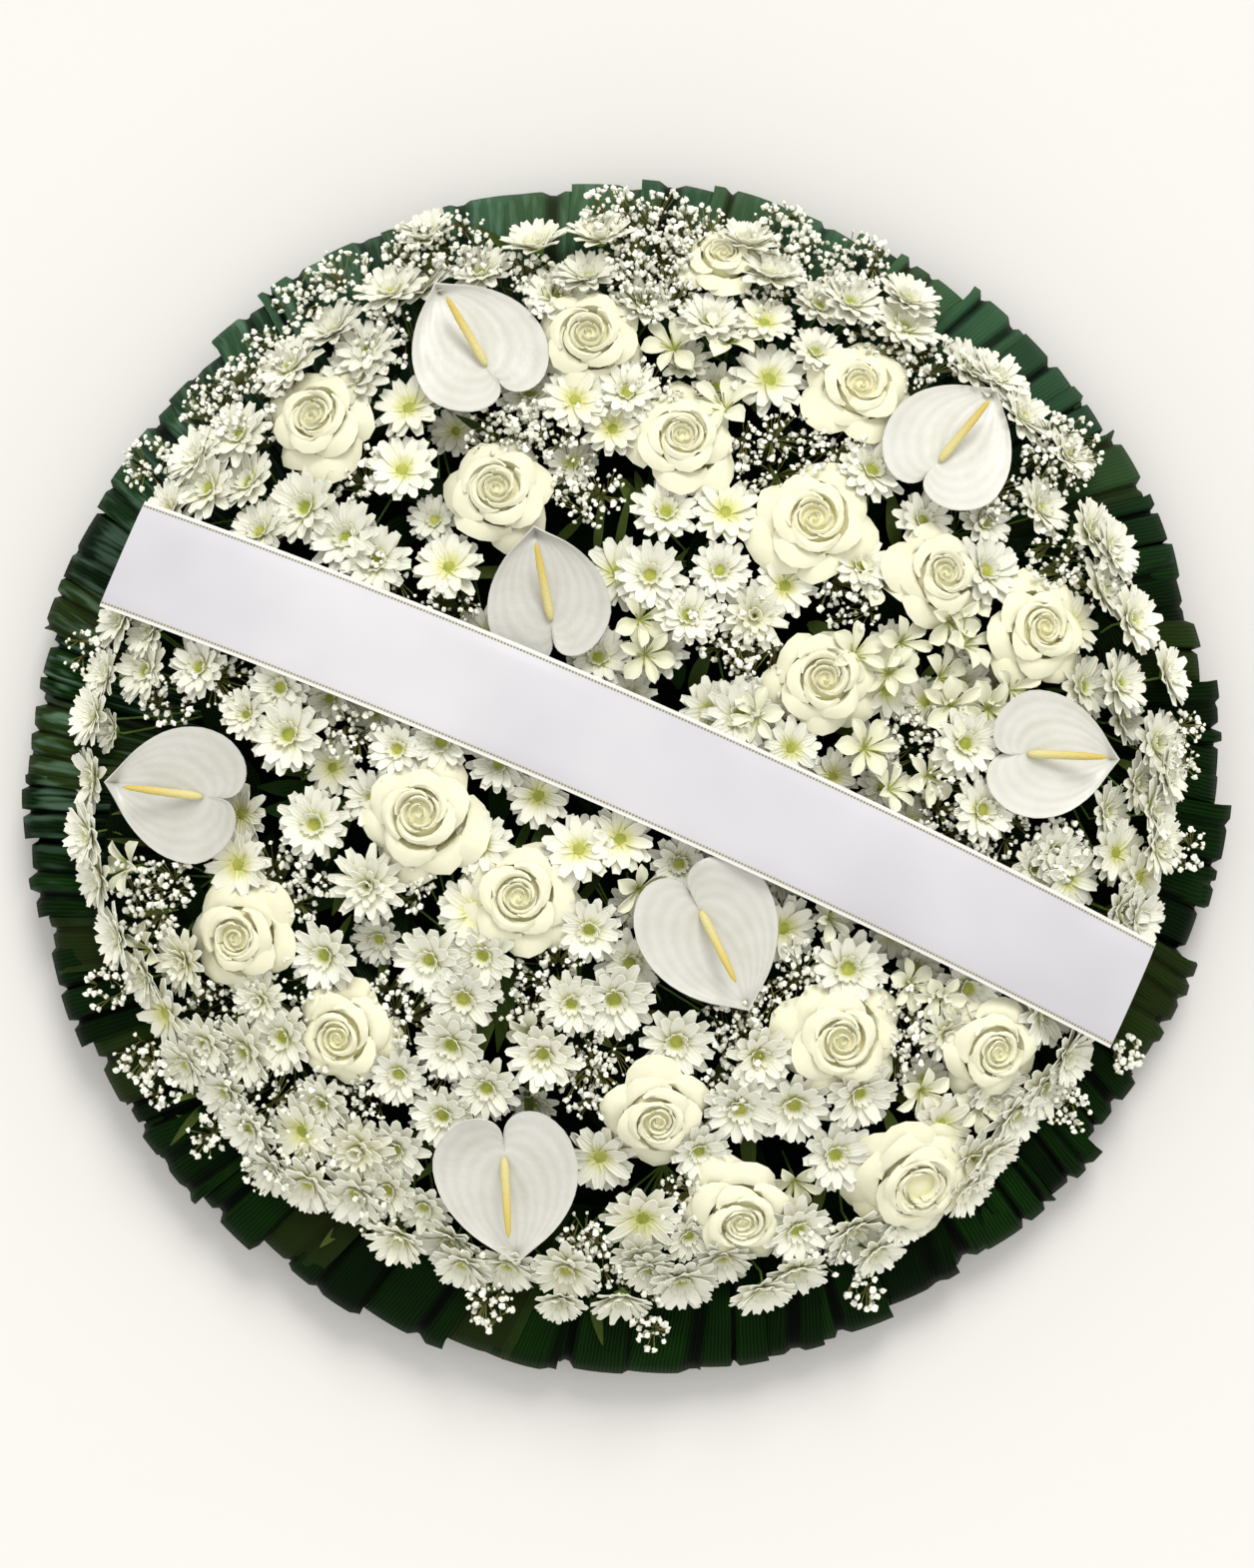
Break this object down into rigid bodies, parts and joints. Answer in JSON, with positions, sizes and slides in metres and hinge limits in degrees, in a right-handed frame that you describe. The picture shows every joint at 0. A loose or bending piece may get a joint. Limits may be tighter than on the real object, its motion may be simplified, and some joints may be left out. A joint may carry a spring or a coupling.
{
  "type": "memorial wreath",
  "caption": "Round domed memorial wreath: foam base, folded-leaf collar, white roses, anthuriums and chrysanthemums, with a plain satin sash across it.",
  "frame": {"origin": "centre of the board's underside, where the wreath lies on a surface", "axes": "+Z out of the flower face, +Y towards the edge that is up when the wreath is seen from above"},
  "size_m": [0.8532, 0.852, 0.1512],
  "materials": {
    "board": "bare expanded polystyrene, fine bead texture",
    "foam": "wet floral foam, matt and crumbly",
    "leaf": "glossy dark green leaf with parallel veins",
    "spathe": "waxy white, softly quilted between deep veins",
    "spadix": "fine pebbled cream, deepening to yellow at the tip",
    "rose": "velvety cream-white petals, yellower in the depths",
    "chrysanthemum": "soft white ribbed petals, green-yellow discs",
    "alstroemeria": "thin white petals with a yellow-green throat",
    "gypsophila": "tiny crumpled white blossoms on thin olive stems",
    "satin": "white satin with a white selvedge and a fine gold stitched line"
  },
  "bodies": {
    "root": {"alstroemeria_stem_01": "alstroemeria", "anthurium_1_spadix": "spadix", "anthurium_1_spathe": "spathe", "anthurium_2_spadix": "spadix", "anthurium_2_spathe": "spathe", "anthurium_3_spadix": "spadix", "anthurium_3_spathe": "spathe", "anthurium_4_spadix": "spadix", "anthurium_4_spathe": "spathe", "anthurium_5_spadix": "spadix", "anthurium_5_spathe": "spathe", "anthurium_6_spadix": "spadix", "anthurium_6_spathe": "spathe", "anthurium_7_spadix": "spadix", "anthurium_7_spathe": "spathe", "backing_board": "board", "chrysanthemum_spray_01": "chrysanthemum", "chrysanthemum_spray_02": "chrysanthemum", "chrysanthemum_spray_03": "chrysanthemum", "chrysanthemum_spray_04": "chrysanthemum", "chrysanthemum_spray_05": "chrysanthemum", "chrysanthemum_spray_06": "chrysanthemum", "chrysanthemum_spray_07": "chrysanthemum", "chrysanthemum_spray_08": "chrysanthemum", "chrysanthemum_spray_09": "chrysanthemum", "chrysanthemum_spray_10": "chrysanthemum", "chrysanthemum_spray_11": "chrysanthemum", "chrysanthemum_spray_12": "chrysanthemum", "chrysanthemum_spray_13": "chrysanthemum", "chrysanthemum_spray_14": "chrysanthemum", "chrysanthemum_spray_15": "chrysanthemum", "chrysanthemum_spray_16": "chrysanthemum", "chrysanthemum_spray_17": "chrysanthemum", "collar_leaf_01": "leaf", "collar_leaf_02": "leaf", "collar_leaf_03": "leaf", "collar_leaf_04": "leaf", "collar_leaf_05": "leaf", "floral_foam": "foam", "gypsophila_sprig": "gypsophila", "lisianthus": "rose", "rose_01": "rose", "rose_02": "rose", "rose_03": "rose", "rose_04": "rose", "rose_05": "rose", "rose_06": "rose", "rose_07": "rose", "rose_08": "rose", "rose_09": "rose", "rose_10": "rose", "rose_11": "rose", "rose_12": "rose", "rose_13": "rose", "rose_14": "rose", "rose_15": "rose", "rose_16": "rose", "rose_17": "rose", "rose_18": "rose", "sash": "satin"}
  },
  "joints": []
}
